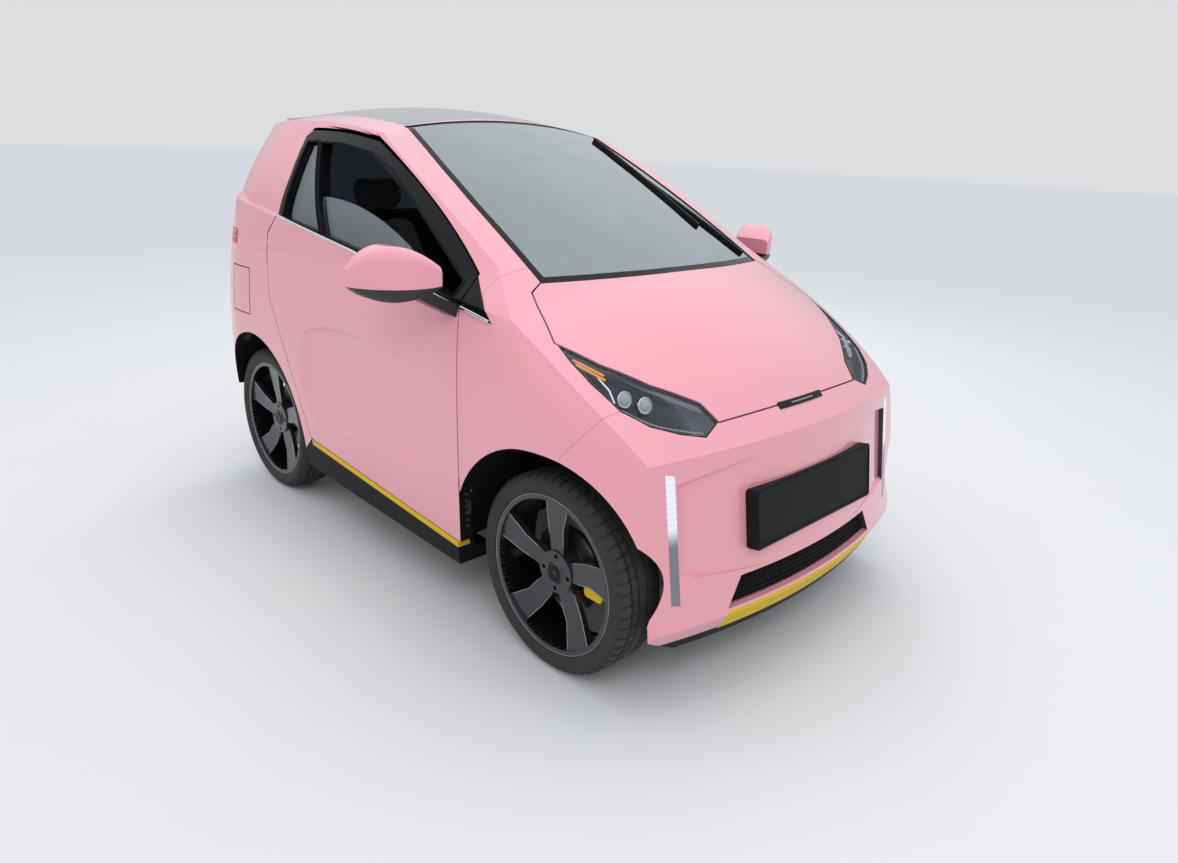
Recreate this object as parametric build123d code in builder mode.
# Two-seat electric microcar with three doors, as separate panels, wheels, lamps and cabin pieces.
# Millimetres. The front faces -Y, +X is the car's left, Z = 0 is the ground, and X = 0 the middle.
from build123d import *
import os
from math import atan2, cos, degrees, radians, sin

os.makedirs("parts", exist_ok=True)

# Running gear
wheelbase = 1740
front_axle_y = -822
rear_axle_y = front_axle_y + wheelbase
tyre_radius = 295
tyre_width = 165
rim_radius = 238
rim_inner_x = -75
rim_outer_x = 70
wheel_centre_x = 612.5
shoulder_radius = 278
shoulder_width = 14.5
spoke_count = 5
disc_radius = 128
stub_radius = 20
kingpin_x = 540
kingpin_radius = 12
strut_x = 470
strut_radius = 24
eye_radius = 26
lug_count = 4
lug_circle = 100
lug_radius = 7
running_gap = 0.05

# Wheel sections: x across the wheel, then radius
tyre_section = [
    (-tyre_width / 2, rim_radius),
    (tyre_width / 2, rim_radius),
    (tyre_width / 2, shoulder_radius),
    (tyre_width / 2 - shoulder_width, tyre_radius),
    (-tyre_width / 2, tyre_radius),
]
barrel_section = [
    (rim_inner_x, rim_radius - 12),
    (rim_inner_x, rim_radius),
    (rim_outer_x, rim_radius),
    (rim_outer_x, rim_radius - 16),
    (-20, rim_radius - 22),
    (-20, rim_radius - 12),
]
hub_section = [
    (-12, 0), (-12, disc_radius), (0, disc_radius), (0, 75), (20, 68), (46, 64), (46, 34), (52, 28), (52, 0)
]
# radius, then x of the back and front face, and the trailing and leading edge
spoke_sections = [(30, 18, 40, -26, 26), (140, 31, 49, -30, 34), (224, 40, 64, -62, 30)]

# Walls and gaps
half_reach = 760
body_wall = 58
door_wall = 43.7
lid_wall = 25
jamb_lap = 16
glass_sink = 3
glass_thickness = 5
side_glass_sink = 14
side_glass_thickness = 4
shut_gap = 5
seam_gap = 0.8
seat_gap = 0.3

# Arches, sills and roof
arch_radius = 375
front_lip_reach = 340
front_lip_bend = 262
arch_height = tyre_radius
liner_wall = 6
front_tunnel_x = 335
rear_tunnel_x = 470
roof_half = 428
roof_front_y = 243
hatch_front_y = 1030
hatch_low_z = 640
lip_top_z = 190
luggage_z = 480
flap_low = (920, 746)
flap_high = (1072, 922)
socket_x = -690
socket_radius = 30
socket_length = 10
socket_depth = 20
plate_thickness = 12
rear_most = 1262
wiper_height = 9
stripe_height = 26
cowl_half = 505
spoiler_half = 540
# y and z at the middle, then how far back and down at the ends
spoiler_section = [
    (1040, 1526, -10, -60), (1190, 1502, -40, -23), (1196, 1480, -40, -25), (1100, 1440, -20, -60)
]
# x, then front and back in y, low and high in z
mirror_sections = [
    (770, -455, -300, 1045, 1110), (850, -420, -262, 1008, 1157), (945, -262, -222, 1040, 1082)
]
wiper_bars = [((385, 150, 1452), (360, -420, 1178), 14), ((462, -545, 1085), (374, -150, 1315), 16)]
mirror_arm_sections = [(685, -430, -372, 948, 985), (810, -410, -330, 1015, 1050)]
floor_z = 275
floor_thickness = 25

# Door hinge line: where it passes, its lean inwards per unit of height, and the angles its jamb is cut for
hinge_x = 745
hinge_y = -472
hinge_z = 620
hinge_tilt = 0.14
swing_angles = (2, 4.5, 7.5, 11, 15)

# Forms let into the outside. Scoop: y, low and high edge in z, x of its deepest line
face_half = 545
face_sink = 79
scoop_sections = [
    (520, 560, 720, 745),
    (400, 425, 772, 720),
    (100, 440, 802, 719),
    (-200, 465, 795, 723),
    (-480, 530, 740, 742),
]

# Cabin
seat_x = 285
seat_width = 460
cushion_length = 450
cushion_height = 110
cushion_top_z = 560
seat_front_y = -90
steering_x = 285
steering_centre = (-165, 850)
steering_tilt = 28
steering_radius = 175
shaft_radius = 10
# y and z of a seat's back and of its head restraint
back_section = [(360.3, 450), (612, 1140), (632, 1168), (690, 1162), (705, 1130), (465, 450)]
head_section = [(622, 1140), (655, 1285), (680, 1300), (735, 1285), (700, 1140)]

# Outline of the body from the chin over bonnet and roof to the tail, seen from the side.
# Columns: y and z on the centre line, then how far the point lies back and down at the side.
body_line = dict(
    chin=(-1225, 165, 130, 0),
    bumper_low=(-1262, 240, 130, 0),
    bumper_top=(-1192, 705, 120, -15),
    bonnet_edge=(-1128, 775, 110, -45),
    bonnet_mid=(-930, 950, 60, -125),
    screen_base=(-665, 1075, 55, -105),
    screen_mid=(-235, 1300, 30, -105),
    screen_top=(200, 1503, 10, -115),
    roof_mid=(640, 1550, 0, -150),
    roof_end=(1100, 1520, -70, -120),
    glass_mid=(1172, 1290, -90, -60),
    tail_top=(1215, 1035, -80, -30),
    hatch_low=(1232, 700, -55, 0),
    bumper_back=(1250, 600, -48, 0),
    back_low=(1248, 400, -40, 0),
    back_chin=(1200, 235, -50, 0),
)
# Outward direction of that outline at each point, for the inner faces of the walls.
line_out = dict(
    chin=(-0.9, -1),
    bumper_low=(-1, -0.2),
    bumper_top=(-1, 0.3),
    bonnet_edge=(-0.8, 0.9),
    bonnet_mid=(-0.6, 0.8),
    screen_base=(-0.5, 0.87),
    screen_mid=(-0.5, 0.87),
    screen_top=(-0.35, 0.97),
    roof_mid=(0, 1),
    roof_end=(0.9, 1),
    glass_mid=(0.97, 0.2),
    tail_top=(1, 0.1),
    hatch_low=(1, 0.05),
    bumper_back=(1, 0.1),
    back_low=(1, 0),
    back_chin=(0.9, -1),
)
# Outlines of the body seen from above, as half rings.
# Columns: height, tilt in degrees, then x and y of nose end, nose corner, wing, side, quarter,
# tail corner and tail end.
lower_rings = [
    (150, 0, (380, -1400), (625, -1165), (706, -840), (712, 80), (705, 960), (678, 1195), (450, 1440)),
    (600, 2, (380, -1400), (650, -1140), (742, -820), (740, 90), (745, 990), (710, 1200), (470, 1460)),
    (1055, 6.5, (380, -1200), (600, -900), (690, -500), (706, 150), (690, 930), (655, 1165), (460, 1400)),
]
shoulder_rings = [
    lower_rings[2],
    (1155, 6.5, (330, -1100), (510, -800), (600, -400), (620, 150), (600, 930), (560, 1120), (400, 1330)),
]
upper_rings = [
    (1035, 6.5, (560, -950), (655, -600), (695, -200), (699, 250), (685, 920), (648, 1150), (460, 1400)),
    (1320, 3, (425, -500), (552, -150), (600, 150), (606, 450), (600, 800), (575, 1040), (430, 1320)),
    (1600, 0, (330, -300), (418, 50), (440, 300), (446, 520), (440, 780), (415, 1010), (310, 1280)),
]
# Outward direction of the rings at the same seven points.
ring_out = ((0.75, -0.65), (0.85, -0.5), (1, -0.05), (1, 0), (1, 0.05), (0.9, 0.45), (0.75, 0.65))


def lengthwise_form(inset):
    with BuildPart() as form:
        for x in (-half_reach, 0, half_reach):
            share = 1 if x else 0
            at = {}
            for name, (y, z, back, down) in body_line.items():
                out_y, out_z = line_out[name]
                at[name] = (y + back * share - inset * out_y, z + down * share - inset * out_z)
            with BuildSketch(Plane.YZ.offset(x)):
                with BuildLine():
                    Line(at["chin"], at["bumper_low"])
                    Line(at["bumper_low"], at["bumper_top"])
                    Line(at["bumper_top"], at["bonnet_edge"])
                    ThreePointArc(at["bonnet_edge"], at["bonnet_mid"], at["screen_base"])
                    ThreePointArc(at["screen_base"], at["screen_mid"], at["screen_top"])
                    ThreePointArc(at["screen_top"], at["roof_mid"], at["roof_end"])
                    ThreePointArc(at["roof_end"], at["glass_mid"], at["tail_top"])
                    Line(at["tail_top"], at["hatch_low"])
                    Line(at["hatch_low"], at["bumper_back"])
                    Line(at["bumper_back"], at["back_low"])
                    Line(at["back_low"], at["back_chin"])
                    Line(at["back_chin"], at["chin"])
                make_face()
        loft()
    return form.part


def ring_form(rings, inset):
    with BuildPart() as form:
        for height, tilt, *points in rings:
            nose, corner, wing, side, quarter, tail, end = [
                (x - inset * out_x, y - inset * out_y)
                for (x, y), (out_x, out_y) in zip(points, ring_out)
            ]
            with BuildSketch(Plane.XY.offset(height).rotated((tilt, 0, 0))):
                with BuildLine():
                    ThreePointArc(nose, corner, wing)
                    ThreePointArc(wing, side, quarter)
                    ThreePointArc(quarter, tail, end)
                    mirror(about=Plane.YZ)
                    Line((-nose[0], nose[1]), nose)
                    Line(end, (-end[0], end[1]))
                make_face()
        loft()
    return form.part


def body_form(inset):
    """The whole body as one solid, its faces moved in by inset."""
    with BuildPart() as form:
        add(ring_form(lower_rings, inset))
        add(ring_form(shoulder_rings, inset))
        add(ring_form(upper_rings, inset))
        add(lengthwise_form(inset), mode=Mode.INTERSECT)
    return form.part


def outline(start, *steps):
    """A closed path: each step is a point for a line, or two points for an arc through the first."""
    with BuildLine() as path:
        here = start
        for step in steps:
            if isinstance(step[0], tuple):
                ThreePointArc(here, step[0], step[1])
                here = step[1]
            else:
                Line(here, step)
                here = step
        Line(here, start)
    return path.line


def zone(plane, path, near, far, grow=0.0, both=False):
    """The space that an outline sweeps along its plane's normal, on one side or on both."""
    with BuildPart() as block:
        with BuildSketch(plane.offset(near)):
            add(path)
            make_face()
            if grow:
                offset(amount=grow, kind=Kind.INTERSECTION, mode=Mode.REPLACE)
        extrude(amount=far - near)
        if both:
            mirror(about=Plane.YZ)
    return block.part


def slab(low, high):
    """A block between two corners."""
    size = [b - a for a, b in zip(low, high)]
    with BuildPart() as block:
        with BuildSketch(Plane.XY.offset(low[2])):
            with Locations(((low[0] + high[0]) / 2, (low[1] + high[1]) / 2)):
                Rectangle(size[0], size[1])
        extrude(amount=size[2])
    return block.part


def piece(start, within=(), without=(), and_also=()):
    """A solid joined with others, then kept inside some zones and cleared of the rest."""
    with BuildPart() as kept:
        add(start)
        for block in and_also:
            add(block)
        for block in within:
            add(block, mode=Mode.INTERSECT)
        for block in without:
            add(block, mode=Mode.SUBTRACT)
    return kept.part


def mirrored(part):
    return mirror(part, about=Plane.YZ)


def save(part, name):
    part.label = name
    export_step(part, f"parts/{name}.step")


# The bumper's face sinks towards the light strips: a bowed cutter between two sloping ends.
# Outward distance and height are taken on the plane of the face.
face_origin, face_out, face_up = (0, -1223, 497), (0, -0.9889, 0.1488), (0, 0.1488, 0.9889)
with BuildPart() as face_bow:
    with BuildSketch(Plane(origin=face_origin, x_dir=(1, 0, 0), z_dir=face_up).offset(-300)):
        with BuildLine():
            ThreePointArc((-face_half, face_sink), (0, -2), (face_half, face_sink))
            Polyline((face_half, face_sink), (face_half, -100), (-face_half, -100), (-face_half, face_sink))
        make_face()
    extrude(amount=600)
face_ends = Plane(origin=face_origin, x_dir=face_out, z_dir=(-1, 0, 0))
face_band = zone(face_ends, outline((-100, 131), (100, 228), (100, -229), (-100, -81)), -600, 600)
face_recess = piece(face_bow.part, within=(face_band,))

# The side sinks between a shoulder crease and a flared foot.
with BuildPart() as scoop:
    for y, low, high, x in scoop_sections:
        with BuildSketch(Plane.XZ.offset(-y)):
            with BuildLine():
                ThreePointArc((x + 8, low), (x, (low + high) / 2), (x + 8, high))
                Polyline((x + 8, high), (x + 131, high + 150), (x + 131, low - 150), (x + 8, low))
            make_face()
    loft()
side_scoop = scoop.part

# The body at the depths where walls, seats and panes begin and end
outer = piece(body_form(0), without=(face_recess, side_scoop, mirrored(side_scoop)))
wall_inner = body_form(body_wall)
door_inner = body_form(door_wall)
door_seat = body_form(door_wall + seat_gap)
lid_inner = body_form(lid_wall)
lid_seat = body_form(lid_wall + seat_gap)
pane_outer = body_form(glass_sink)
pane_inner = body_form(glass_sink + glass_thickness)
side_pane_outer = body_form(side_glass_sink)
side_pane_inner = body_form(side_glass_sink + side_glass_thickness)
shell = piece(outer, without=(wall_inner,))
lid_skin = piece(outer, without=(lid_inner,))
door_skin = piece(outer, without=(door_inner,))

# The bonnet, the headlamps and the windscreen are cut along one slanted direction.
slant = 30
slanted = Plane(origin=(0, 0, 0), x_dir=(1, 0, 0), z_dir=(0, -sin(radians(slant)), cos(radians(slant))))


def on_slant(x, y, z):
    local = slanted.to_local_coords(Vector(x, y, z))
    return (local.X, local.Y)


# Corners that bonnet, headlamps and windscreen share: x, y, z on the body
lamp_tip = (352, -1110, 760)
lamp_heel = (627, -759, 939)
lamp_inner = [(375, -1060, 802), (482, -973, 850), (566, -868, 894)]
lamp_outer = [
    (632, -824, 900), (627, -896, 856), (606, -986, 803),
    (558, -1048, 767), (491, -1093, 747), (420, -1126, 735),
]
bonnet_kink = (564, -592, 1041)
screen_corner = (521, -576, 1060)
screen_base_mid = (0, -672, 1073)
bonnet_nose = (0, -1133, 767)
screen_side = [(510, -376, 1169), (500, -216, 1254), (480, -31, 1347)]
screen_head = (441, roof_front_y - 4, 1467)


def left(points):
    return [on_slant(*point) for point in points]


def right(points):
    return [(-x, y) for x, y in reversed(left(points))]


bonnet_side = [lamp_tip, *lamp_inner, lamp_heel, bonnet_kink, screen_corner]
bonnet_half = left(bonnet_side)
bonnet_other = right(bonnet_side)
bonnet_outline = outline(
    bonnet_other[-1],
    (on_slant(*bonnet_nose), bonnet_half[0]),
    *bonnet_half[1:],
    (on_slant(*screen_base_mid), bonnet_other[0]),
    *bonnet_other[1:-1],
)
lamp_outline = outline(*left([lamp_tip, *lamp_inner, lamp_heel, *lamp_outer]))
screen_half = left([screen_corner, *screen_side, screen_head])
screen_other = right([screen_corner, *screen_side, screen_head])
screen_outline = outline(
    screen_other[-1],
    (on_slant(*screen_base_mid), screen_half[0]),
    *screen_half[1:],
    *screen_other[:-1],
)
bonnet_zone = zone(slanted, bonnet_outline, 700, 1600)
bonnet_opening = zone(slanted, bonnet_outline, 700, 1600, grow=shut_gap)
bonnet_hole = zone(slanted, bonnet_outline, 700, 1600, grow=-jamb_lap)
lamp_zone = zone(slanted, lamp_outline, 1060, 1500, grow=-seat_gap, both=True)
lamp_opening = zone(slanted, lamp_outline, 1060, 1500, both=True)
screen_zone = zone(slanted, screen_outline, 1000, 1700, grow=-seat_gap)
screen_opening = zone(slanted, screen_outline, 1000, 1700)
screen_hole = zone(slanted, screen_outline, 700, 1700, grow=-jamb_lap)

# Outlines seen from the side: y and z
belt_rear = (705, 1141)
belt_mid = (165, 1078)
belt_front = (-428, 988)
door_foot_front = (-462, 271)
door_foot_rear = (478, 343)
door_outline = outline(
    door_foot_front,
    ((-472, 620), belt_front),
    (-428, 1075),
    ((-69, 1298), (202, 1417)),
    ((438, 1441), (655, 1444)),
    (690, 1420),
    (686, 1269),
    belt_rear,
    (767, 1074),
    (763, 990),
    (732, 829),
    ((575, 560), door_foot_rear),
)
triangle_outline = outline((-433, 988), (-433, 1070), (-577, 964))
above_belt = outline(belt_front, (belt_mid, belt_rear), (800, 1500), (-500, 1500))
pane_outline = outline(
    (-392, 1006),
    ((165, 1090), (362, 1111)),
    (560, 1404),
    ((430, 1403), (215, 1379)),
    ((-50, 1262), (-392, 1050)),
)
rear_pane_outline = outline((387, 1114), (668, 1144), (656, 1269), (658, 1404), (584, 1406))
lowered_outline = outline((500, 1000), (500, 1226), ((160, 1206), (-126, 1117)), (-300, 1000), (-420, 1000))
nose_outline = outline((-1400, 100), (-894, 100), (-894, 678), (-982, 798), (-1100, 960), (-1400, 960))
wing_outline = outline(
    (-1200, 200),
    (-455, 200),
    (-425, 988),
    (-577, 964),
    (-485, 1035),
    (-520, 1110),
    (-760, 1300),
    (-1200, 1000),
)
tail_outline = outline((1050, 100), (1050, 560), (1150, 638), (1400, 638), (1400, 100))
front_arch = outline(
    (front_axle_y - front_lip_reach, 0),
    (front_axle_y - front_lip_reach, arch_height),
    ((front_axle_y - front_lip_bend, arch_height + front_lip_bend), (front_axle_y, arch_height + arch_radius)),
    ((front_axle_y + 265, arch_height + 265), (front_axle_y + arch_radius, arch_height)),
    (front_axle_y + arch_radius, 0),
)
rear_arch = outline(
    (rear_axle_y - arch_radius + 8, 0),
    (rear_axle_y - arch_radius, arch_height),
    ((rear_axle_y - 262, arch_height + 268), (rear_axle_y, arch_height + arch_radius)),
    ((rear_axle_y + 188, arch_height + 298), (rear_axle_y + 262, arch_height + 195)),
    (rear_axle_y + 301, arch_height + 60),
    (rear_axle_y + 302, 0),
)
flap_outline = outline(flap_low, (flap_low[0], flap_high[1]), flap_high, (flap_high[0], flap_low[1]))
# The lower edge of the painted body: nose, stripe under the door, and tail
belly_outline = outline(
    (-1400, 50),
    (-1400, lip_top_z),
    (-1180, lip_top_z + 8),
    (-700, lip_top_z + 30),
    (-520, 262),
    door_foot_front,
    door_foot_rear,
    (560, 270),
    (1180, 330),
    (1220, 392),
    (1400, 400),
    (1400, 50),
)
sill_stripe_outline = outline(
    (-560, 257),
    door_foot_front,
    door_foot_rear,
    (door_foot_rear[0], door_foot_rear[1] - stripe_height),
    (door_foot_front[0], door_foot_front[1] - stripe_height),
    (-560, 257 - stripe_height),
)
nose_stripe_outline = outline((-397, lip_top_z), (-388, 250), (388, 250), (397, lip_top_z))

# Door, windows and lids as openings in the side
side_low, side_high = 380, 900
door_zone = zone(Plane.YZ, door_outline, side_low, side_high)
door_opening = zone(Plane.YZ, door_outline, side_low, side_high, grow=shut_gap, both=True)
door_rebate = piece(door_opening, without=(door_seat,))
door_hole = zone(Plane.YZ, door_outline, side_low - 50, side_high, grow=-jamb_lap, both=True)
upper_zone = zone(Plane.YZ, above_belt, side_low, side_high)
triangle_zone = zone(Plane.YZ, triangle_outline, side_low, side_high, grow=-seat_gap, both=True)
triangle_opening = zone(Plane.YZ, triangle_outline, side_low, side_high, both=True)
pane_zone = zone(Plane.YZ, pane_outline, side_low, side_high)
pane_fit = zone(Plane.YZ, pane_outline, side_low, side_high, grow=-seat_gap)
rear_pane_zone = zone(Plane.YZ, rear_pane_outline, side_low, side_high)
rear_pane_fit = zone(Plane.YZ, rear_pane_outline, side_low, side_high, grow=-seat_gap)
lowered_zone = zone(Plane.YZ, lowered_outline, side_low, side_high)
flap_zone = zone(Plane.YZ, flap_outline, -900, -600)
flap_rebate = piece(zone(Plane.YZ, flap_outline, -900, -600, grow=shut_gap), without=(lid_seat,))
flap_hole = zone(Plane.YZ, flap_outline, -900, -500, grow=-jamb_lap)

# Zones that share the body out between its panels
nose_zone = zone(Plane.YZ, nose_outline, -800, 800)
nose_clear = zone(Plane.YZ, nose_outline, -800, 800, grow=seam_gap)
wing_zone = zone(Plane.YZ, wing_outline, 300, 800)
wing_clear = zone(Plane.YZ, wing_outline, 300, 800, grow=seam_gap)
tail_zone = zone(Plane.YZ, tail_outline, -800, 800)
tail_clear = zone(Plane.YZ, tail_outline, -800, 800, grow=seam_gap)
arch_zone = piece(
    zone(Plane.YZ, front_arch, front_tunnel_x, 900, both=True),
    and_also=(zone(Plane.YZ, rear_arch, rear_tunnel_x, 900, both=True),),
)
belly_zone = zone(Plane.YZ, belly_outline, -800, 800)
belly_rebate = piece(belly_zone, without=(door_seat,))
nose_stripe_opening = zone(Plane.XZ, nose_stripe_outline, 1120, 1400)
nose_stripe_rebate = piece(nose_stripe_opening, without=(door_seat,))
stripe_zone = piece(zone(Plane.YZ, sill_stripe_outline, 600, 800, both=True), and_also=(nose_stripe_opening,))
pan_outline = outline(
    (-660, -1000), (-600, -1120), (-400, -1165), (400, -1165),
    (600, -1120), (660, -1000), (660, 1130), (-660, 1130),
)
pan_gap = zone(Plane.XY, pan_outline, 0, 330)
roof_zone = slab((-roof_half, roof_front_y, 1300), (roof_half, 1120, 1700))
roof_clear = slab((-roof_half - seam_gap, roof_front_y - seam_gap, 1300), (roof_half + seam_gap, 1121, 1700))
cowl_zone = slab((-cowl_half, -740, 950), (cowl_half, -540, 1200))
cowl_clear = slab((-cowl_half - seam_gap, -740, 950), (cowl_half + seam_gap, -540, 1200))
left_half = slab((0, -1500, 0), (900, 1500, 1700))

# The jamb above the belt is cut back where the door's window frame swings past it.
hinge_axis = Axis((hinge_x, hinge_y, hinge_z), (hinge_tilt, 0, -1))
frame_rebate = piece(
    zone(Plane.YZ, door_outline, side_low, side_high, grow=shut_gap),
    within=(slab((380, -440, 1060), (900, 720, 1500)),),
    without=(door_seat,),
)
swing_cuts = [frame_rebate.rotate(hinge_axis, angle) for angle in swing_angles]

# Lids and glass, each lying on a ledge of the panels round it
bonnet_rebate = piece(bonnet_opening, without=(lid_seat,))
screen_rebate = piece(screen_opening, without=(pane_inner,))
rearward = Plane(origin=(0, 0, 0), x_dir=(-1, 0, 0), z_dir=(0, 1, 0))
hatch_half = [(410, 1700), (410, 1440), (443, 1330), (585, 1060), (590, 800), (560, hatch_low_z)]
hatch_outline = outline(*hatch_half, *[(-x, z) for x, z in reversed(hatch_half)])
hatch_glass_half = [(365, 1470), (420, 1320), (520, 1085)]
hatch_glass_outline = outline(*hatch_glass_half, *[(-x, z) for x, z in reversed(hatch_glass_half)])
hatch_zone = zone(rearward, hatch_outline, hatch_front_y, 1500)
hatch_opening = zone(rearward, hatch_outline, hatch_front_y - shut_gap, 1500, grow=shut_gap)
hatch_rebate = piece(hatch_opening, without=(lid_seat,))
hatch_hole = zone(rearward, hatch_outline, hatch_front_y + jamb_lap, 1500, grow=-jamb_lap)
hatch_glass_zone = zone(rearward, hatch_glass_outline, 900, 1500)
hatch_glass_rebate = piece(hatch_glass_zone, without=(pane_inner,))
hatch_glass_fit = zone(rearward, hatch_glass_outline, 900, 1500, grow=-seat_gap)
hatch_glass_hole = zone(rearward, hatch_glass_outline, 900, 1500, grow=-jamb_lap)
tail_lamp_outline = outline((-735, 1058), (-640, 1075), (-597, 1050), (-597, 985), (-640, 985), (-735, 1010))
tail_lamp_zone = zone(rearward, tail_lamp_outline, 1040, 1400, grow=-seat_gap)
tail_lamp_opening = zone(rearward, tail_lamp_outline, 1040, 1400)
grille_outline = outline((-387, 258), (387, 258), (335, 342), (-335, 342))
grille_zone = zone(Plane.XZ, grille_outline, 1000, 1400)
grille_fit = zone(Plane.XZ, grille_outline, 1000, 1400, grow=-seat_gap)
strip_outline = outline((546, 310), (575, 316), (579, 668), (550, 660))
strip_zone = zone(Plane.XZ, strip_outline, 1000, 1400, grow=-seat_gap, both=True)
strip_opening = zone(Plane.XZ, strip_outline, 1000, 1400, both=True)

# Roof and fixed glass
roof_panel = piece(shell, within=(roof_zone,), without=(screen_rebate, screen_hole, hatch_rebate, hatch_hole))
save(roof_panel, "roof_panel")
windscreen = piece(pane_outer, within=(screen_zone,), without=(pane_inner, bonnet_opening))
save(windscreen, "windscreen")
cowl_panel = piece(
    shell, within=(cowl_zone,), without=(bonnet_rebate, bonnet_hole, screen_rebate, screen_hole)
)
save(cowl_panel, "cowl_panel")

# Bonnet, front bumper and what is set into the nose
bonnet = piece(lid_skin, within=(bonnet_zone,))
save(bonnet, "bonnet")
front_bumper = piece(
    shell,
    within=(nose_zone,),
    without=(
        bonnet_rebate, bonnet_hole, lamp_opening, belly_rebate, pan_gap, arch_zone, grille_zone,
        strip_opening, nose_stripe_rebate,
    ),
)
save(front_bumper, "front_bumper")
daylight_strips = piece(outer, within=(strip_zone,), without=(side_pane_outer,))
save(daylight_strips, "daylight_strips")
lower_grille = piece(lid_inner, within=(grille_fit,), without=(wall_inner,))
save(lower_grille, "lower_grille")
headlamp_lenses = piece(outer, within=(lamp_zone,), without=(pane_outer, bonnet_opening))
save(headlamp_lenses, "headlamp_lenses")
headlamp_housings = piece(pane_inner, within=(lamp_zone,), without=(door_inner, bonnet_opening))
save(headlamp_housings, "headlamp_housings")

# Wings
wing_left = piece(
    shell,
    within=(wing_zone,),
    without=(
        nose_clear, bonnet_rebate, bonnet_hole, lamp_opening, screen_rebate, screen_hole, belly_rebate,
        pan_gap, arch_zone, door_rebate, door_hole, triangle_opening, cowl_clear,
    ),
)
front_wings = piece(wing_left, and_also=(mirrored(wing_left),))
save(front_wings, "front_wings")
triangle_left = piece(door_skin, within=(left_half, triangle_zone), without=(door_opening,))
window_triangles = piece(triangle_left, and_also=(mirrored(triangle_left),))
save(window_triangles, "window_triangles")

# Body sides: quarter, pillar, cant rail and the jamb that the door closes on
body_side_left = piece(
    shell,
    within=(left_half,),
    without=(
        nose_clear, wing_clear, tail_clear, roof_clear, cowl_clear, door_rebate, door_hole, screen_rebate,
        screen_hole, hatch_rebate, hatch_hole, tail_lamp_opening, belly_rebate, pan_gap, arch_zone,
        bonnet_rebate, bonnet_hole, triangle_opening, *swing_cuts,
    ),
)
save(body_side_left, "body_side_left")
body_side_right = piece(mirrored(body_side_left), without=(flap_rebate, flap_hole))
save(body_side_right, "body_side_right")
charge_flap = piece(lid_skin, within=(flap_zone,))
save(charge_flap, "charge_flap")

# Rear bumper, tail lamps and the lower edge
rear_bumper = piece(
    shell, within=(tail_zone,), without=(hatch_rebate, hatch_hole, belly_rebate, pan_gap, arch_zone)
)
save(rear_bumper, "rear_bumper")
tail_lamp_left = piece(lid_skin, within=(tail_lamp_zone,), without=(hatch_rebate,))
tail_lamps = piece(tail_lamp_left, and_also=(mirrored(tail_lamp_left),))
save(tail_lamps, "tail_lamps")
accent_stripes = piece(door_skin, within=(stripe_zone,), without=(pan_gap, arch_zone, door_rebate))
save(accent_stripes, "accent_stripes")
under_gap = slab((-600, -1050, 0), (600, 1130, 900))
lower_trims = piece(door_skin, within=(belly_zone,), without=(stripe_zone, under_gap, arch_zone))
save(lower_trims, "lower_trims")

# Hatch with its spoiler and glass
with BuildPart() as spoiler:
    for x in (-spoiler_half, 0, spoiler_half):
        share = 1 if x else 0
        with BuildSketch(Plane.YZ.offset(x)):
            with BuildLine():
                corners = [(y + back * share, z + down * share) for y, z, back, down in spoiler_section]
                Polyline(*corners, close=True)
            make_face()
    loft()
hatch = piece(
    piece(lid_skin, within=(hatch_zone,), and_also=(piece(spoiler.part, without=(lid_inner,)),)),
    without=(hatch_glass_rebate, hatch_glass_hole),
)
save(hatch, "hatch")
hatch_glass = piece(pane_outer, within=(hatch_glass_fit,), without=(pane_inner,))
save(hatch_glass, "hatch_glass")

# Doors
door_left = piece(door_skin, within=(door_zone,), without=(upper_zone,))
window_frame_left = piece(door_skin, within=(door_zone, upper_zone), without=(pane_zone, rear_pane_zone))
window_layer = piece(side_pane_outer, without=(side_pane_inner,))
lowered_pane = piece(window_layer, within=(pane_fit, lowered_zone))
rear_pane = piece(window_layer, within=(rear_pane_fit,))
door_glass_left = piece(lowered_pane, and_also=(rear_pane,))
with BuildPart() as mirror_cap:
    for x, front, back, low, high in mirror_sections:
        with BuildSketch(Plane.YZ.offset(x)):
            with Locations(((front + back) / 2, (low + high) / 2)):
                RectangleRounded(back - front, high - low, min(back - front, high - low) * 0.3)
    loft()
with BuildPart() as mirror_arm:
    for x, front, back, low, high in mirror_arm_sections:
        with BuildSketch(Plane.YZ.offset(x)):
            with Locations(((front + back) / 2, (low + high) / 2)):
                Rectangle(back - front, high - low)
    loft()
mirror_left = piece(mirror_arm.part, and_also=(mirror_cap.part,), without=(outer,))
for name, part in dict(
    door=door_left, window_frame=window_frame_left, door_glass=door_glass_left, door_mirror=mirror_left
).items():
    save(part, f"{name}_left")
    save(mirrored(part), f"{name}_right")

# Front plate and rear plate: blank panels, flat in front and shaped to the bumper behind
front_face = Plane(origin=(0, -1223, 497), x_dir=(1, 0, 0), z_dir=(0, -0.9889, 0.1488))
with BuildPart() as front_plate:
    with BuildSketch(front_face.offset(-35)):
        RectangleRounded(620, 172, 12)
    extrude(amount=35 + plate_thickness)
rear_plate = slab((-235, 1200, 425), (235, rear_most, 545))
front_plate_panel = piece(front_plate.part, without=(outer,))
rear_plate_panel = piece(rear_plate, without=(outer,))
plate_panels = piece(front_plate_panel, and_also=(rear_plate_panel,))
save(plate_panels, "plate_panels")

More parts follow.
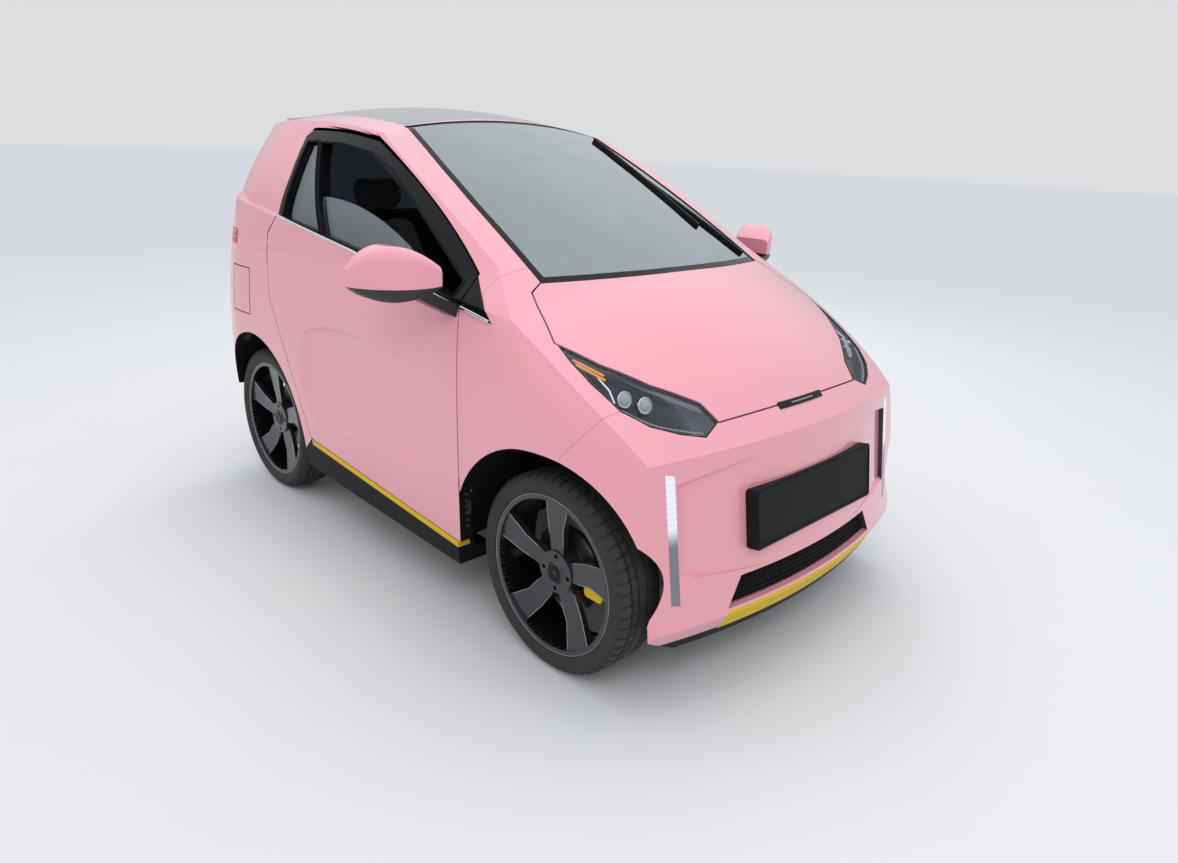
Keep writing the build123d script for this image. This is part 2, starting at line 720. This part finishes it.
# Wiper lying on the windscreen
wiper_layer = piece(body_form(-wiper_height), without=(pane_outer,))
wiper_parts = []
for start, end, width in wiper_bars:
    a, b = Vector(*on_slant(*start)), Vector(*on_slant(*end))
    with BuildPart() as bar:
        with BuildSketch(slanted.offset(900)):
            with Locations(Location((a + b) / 2, degrees(atan2((b - a).Y, (b - a).X)))):
                RectangleRounded((b - a).length + width, width, width * 0.45)
        extrude(amount=900)
    wiper_parts.append(bar.part)
wiper = piece(piece(wiper_parts[0], and_also=wiper_parts[1:]), within=(wiper_layer,))
save(wiper, "wiper")

# Wheelhouses, then the floor with its bulkheads and the luggage floor between them
wheelhouse_walls, wheelhouse_spaces = [], []
for path, tunnel_x in ((front_arch, front_tunnel_x), (rear_arch, rear_tunnel_x)):
    wheelhouse_walls.append(zone(Plane.YZ, path, tunnel_x - liner_wall, 760, grow=liner_wall, both=True))
    wheelhouse_spaces.append(
        zone(Plane.YZ, path, tunnel_x - liner_wall - seat_gap, 760, grow=liner_wall + seat_gap, both=True)
    )
below_floor = slab((-760, -1300, 0), (760, 1400, floor_z))
axle_gap = slab((-rear_tunnel_x, 505, 0), (rear_tunnel_x, 1400, arch_height + 50))
wheelhouses = piece(
    wheelhouse_walls[0],
    and_also=(wheelhouse_walls[1],),
    within=(wall_inner,),
    without=(arch_zone, below_floor, axle_gap),
)
save(wheelhouses, "wheelhouses")
floor_plates = [
    slab((-690, -500, floor_z), (690, 500, floor_z + floor_thickness)),
    slab((-front_tunnel_x, -1110, floor_z), (front_tunnel_x, -490, floor_z + 20)),
    slab((-690, -520, floor_z), (690, -500, 940)),
    slab((-690, 480, floor_z), (690, 500, luggage_z)),
    slab((-640, 480, luggage_z - 20), (640, 1190, luggage_z)),
]
underbody = piece(
    floor_plates[0],
    and_also=floor_plates[1:],
    within=(wall_inner,),
    without=(*wheelhouse_spaces,),
)
save(underbody, "underbody")

# Suspension, axle, motor and battery
with BuildPart() as front_suspension:
    beam_x = front_tunnel_x - 5
    add(slab((-beam_x, front_axle_y - 80, 150), (beam_x, front_axle_y + 80, floor_z - seat_gap)))
    add(slab((-kingpin_x, front_axle_y - 22, 160), (kingpin_x, front_axle_y + 22, 185)))
    strut_top = arch_height + arch_radius + 20
    for side in (-1, 1):
        for x, low, high, radius in (
            (kingpin_x, 160, 185, eye_radius),
            (kingpin_x, 410, 440, eye_radius),
            (strut_x, 410, strut_top, strut_radius),
        ):
            with BuildSketch(Plane.XY.offset(low)):
                with Locations((side * x, front_axle_y)):
                    Circle(radius)
            extrude(amount=high - low)
        with BuildSketch(Plane.XY.offset(410)):
            with Locations((side * (kingpin_x + strut_x) / 2, front_axle_y)):
                Rectangle(kingpin_x - strut_x, 40)
        extrude(amount=30)
    for low, high in ((150, 190), (400, 450)):
        with BuildSketch(Plane.XY.offset(low)):
            with Locations((-kingpin_x, front_axle_y), (kingpin_x, front_axle_y)):
                Circle(kingpin_radius + running_gap)
        extrude(amount=high - low, mode=Mode.SUBTRACT)
    add(zone(Plane.YZ, front_arch, front_tunnel_x - 400, 760, both=True), mode=Mode.INTERSECT)
save(front_suspension.part, "front_suspension")

with BuildPart() as rear_axle:
    for side in (-1, 1):
        inner_x = side * 475
        with BuildSketch(Plane.YZ.offset(min(inner_x, side * 515))):
            with Locations(((rear_axle_y - 160), arch_height)):
                Rectangle(460, 76)
        extrude(amount=40)
        for x, length, radius in ((515, 79, 40), (594, 54, stub_radius), (150, 325, 14)):
            with BuildSketch(Plane.YZ.offset(side * x if side > 0 else -x - length)):
                with Locations((rear_axle_y, arch_height)):
                    Circle(radius)
            extrude(amount=length)
    with BuildSketch(Plane.YZ.offset(-475)):
        with Locations((600, arch_height)):
            Circle(30)
    extrude(amount=950)
    add(zone(Plane.YZ, rear_arch, -760, 760), mode=Mode.INTERSECT)
save(rear_axle.part, "rear_axle")
save(slab((-150, rear_axle_y - 140, 155), (150, rear_axle_y + 140, 400)), "drive_motor")
save(slab((-480, -120, 168), (480, 470, floor_z - seat_gap)), "battery_pack")

# Knuckles and calipers
for side, name in ((1, "left"), (-1, "right")):
    with BuildPart() as knuckle:
        for low, high, radius in ((150, 450, kingpin_radius), (190, 400, 16)):
            with BuildSketch(Plane.XY.offset(low)):
                with Locations((side * kingpin_x, front_axle_y)):
                    Circle(radius)
            extrude(amount=high - low)
        for x, length, radius in ((kingpin_x - 14, 594 - kingpin_x + 14, 40), (594, 54, stub_radius)):
            with BuildSketch(Plane.YZ.offset(side * x if side > 0 else -x - length)):
                with Locations((front_axle_y, arch_height)):
                    Circle(radius)
            extrude(amount=length)
        with BuildSketch(Plane.YZ.offset(562 if side > 0 else -585)):
            with Locations((front_axle_y - 75, arch_height)):
                Rectangle(150, 52)
        extrude(amount=23)
    save(knuckle.part, f"knuckle_{name}")
    with BuildPart() as caliper:
        with BuildSketch(Plane.YZ.offset(585.3 if side > 0 else -627.5)):
            with Locations((front_axle_y - 120, arch_height)):
                RectangleRounded(72, 96, 14)
        extrude(amount=42.2)
        with BuildSketch(Plane.YZ.offset(595.5 if side > 0 else -617.5)):
            with Locations((front_axle_y, arch_height)):
                Circle(disc_radius + 6)
        extrude(amount=22, mode=Mode.SUBTRACT)
    save(caliper.part, f"brake_caliper_{name}")

# One wheel about the X axis with its outer face towards +X, then four in place
with BuildPart() as tyre:
    with BuildSketch(Plane.XZ):
        with BuildLine():
            Polyline(*tyre_section, close=True)
        make_face()
    revolve(axis=Axis.X)
with BuildPart() as spoke:
    for radius, low_x, high_x, trail, lead in spoke_sections:
        with BuildSketch(Plane.XY.offset(radius)):
            with BuildLine():
                Polyline((low_x, trail), (high_x, trail), (high_x - 4, lead), (low_x - 4, lead), close=True)
            make_face()
    loft(ruled=True)
with BuildPart() as rim:
    for section in (barrel_section, hub_section):
        with BuildSketch(Plane.XZ):
            with BuildLine():
                Polyline(*section, close=True)
            make_face()
        revolve(axis=Axis.X)
    for index in range(spoke_count):
        add(spoke.part.rotate(Axis.X, index * 360 / spoke_count))
    with BuildSketch(Plane.YZ.offset(-20)):
        Circle(stub_radius + running_gap)
    extrude(amount=56, mode=Mode.SUBTRACT)
    with BuildSketch(Plane.YZ.offset(0)):
        with PolarLocations(lug_circle / 2, lug_count):
            Circle(lug_radius)
    extrude(amount=60, mode=Mode.SUBTRACT)
for end, y in (("front", front_axle_y), ("rear", rear_axle_y)):
    for name, part in dict(tyre=tyre.part, rim=rim.part).items():
        placed = part.moved(Location((wheel_centre_x, y, tyre_radius)))
        save(placed, f"{name}_{end}_left")
        save(mirrored(placed), f"{name}_{end}_right")

# Dashboard, steering wheel, seats and mirror
steer_y, steer_z = steering_centre
steer_plane = Plane(
    origin=(steering_x, steer_y, steer_z),
    x_dir=(1, 0, 0),
    z_dir=(0, cos(radians(steering_tilt)), sin(radians(steering_tilt))),
)
dash_outline = outline((-500, 760), (-500, 925), (-420, 935), (-335, 900), (-330, 780), (-400, 740))
with BuildPart() as dashboard:
    add(zone(Plane.YZ, dash_outline, -640, 640))
    with BuildSketch(Plane.YZ.offset(steering_x - 115)):
        with BuildLine():
            Polyline((-420, 900), (-420, 960), (-300, 955), (-285, 880), (-335, 840), close=True)
        make_face()
    extrude(amount=230)
    with BuildSketch(steer_plane.offset(-240)):
        Circle(28)
    extrude(amount=210)
    with BuildSketch(steer_plane.offset(-80)):
        Circle(shaft_radius + running_gap)
    extrude(amount=60, mode=Mode.SUBTRACT)
    add(wall_inner, mode=Mode.INTERSECT)
    add(underbody, mode=Mode.SUBTRACT)
    add(wheelhouse_spaces[0], mode=Mode.SUBTRACT)
save(dashboard.part, "dashboard")
with BuildPart() as steering_wheel:
    with BuildSketch(Plane(origin=steer_plane.origin, x_dir=(1, 0, 0), z_dir=-steer_plane.y_dir)):
        with Locations((steering_radius, 0)):
            Circle(14)
    revolve(axis=Axis(steer_plane.origin, steer_plane.z_dir))
    with BuildSketch(steer_plane.offset(-22)):
        Circle(55)
    extrude(amount=30)
    with BuildSketch(steer_plane.offset(-9)):
        for angle in (0, 180, 270):
            with Locations(Location((0, 0), angle)):
                with Locations((steering_radius / 2, 0)):
                    Rectangle(steering_radius - 8, 34)
    extrude(amount=12)
    with BuildSketch(steer_plane.offset(-78)):
        Circle(shaft_radius)
    extrude(amount=60)
save(steering_wheel.part, "steering_wheel")

seat_rear_y = seat_front_y + cushion_length
cushions, backs, bases = [], [], []
for x in (-seat_x, seat_x):
    base_low = (x - 200, -55, floor_z + floor_thickness)
    bases.append(slab(base_low, (x + 200, seat_rear_y + 105, cushion_top_z - cushion_height - seat_gap)))
    with BuildPart() as cushion:
        with BuildSketch(Plane.XY.offset(cushion_top_z - cushion_height)):
            with Locations((x, (seat_front_y + seat_rear_y) / 2)):
                RectangleRounded(seat_width, cushion_length, 60)
        extrude(amount=cushion_height)
        fillet(cushion.edges().filter_by(Plane.XY).group_by(Axis.Z)[-1], 30)
    cushions.append(cushion.part)
    with BuildPart() as back:
        for width, section in ((seat_width - 20, back_section), (250, head_section)):
            with BuildSketch(Plane.YZ.offset(x - width / 2)):
                with BuildLine():
                    Polyline(*section, close=True)
                make_face()
            extrude(amount=width)
    backs.append(back.part)
save(piece(bases[0], and_also=bases[1:]), "seat_bases")
save(piece(cushions[0], and_also=cushions[1:]), "seat_cushions")
save(piece(backs[0], and_also=backs[1:]), "seat_backs")

with BuildPart() as rear_view_mirror:
    add(slab((-110, 5, 1300), (110, 30, 1365)))
    with BuildSketch(Plane.XY.offset(1340)):
        with Locations((0, 8)):
            Circle(9)
    extrude(amount=150)
    add(pane_inner, mode=Mode.INTERSECT)
save(rear_view_mirror.part, "rear_view_mirror")

# Charging socket behind the flap
socket_place = Location(((flap_low[0] + flap_high[0]) / 2, (flap_low[1] + flap_high[1]) / 2))
socket_size = [high - low - 2 * jamb_lap - 1 for low, high in zip(flap_low, flap_high)]
with BuildPart() as charge_socket:
    with BuildSketch(Plane.YZ.offset(socket_x)):
        with Locations(socket_place):
            Rectangle(*socket_size)
    extrude(amount=14)
    with BuildSketch(Plane.YZ.offset(socket_x - socket_length)):
        with Locations(socket_place):
            Circle(socket_radius + 5)
    extrude(amount=socket_length)
    with BuildSketch(Plane.YZ.offset(socket_x - socket_length)):
        with Locations(socket_place):
            Circle(socket_radius)
    extrude(amount=socket_depth, mode=Mode.SUBTRACT)
save(charge_socket.part, "charge_socket")
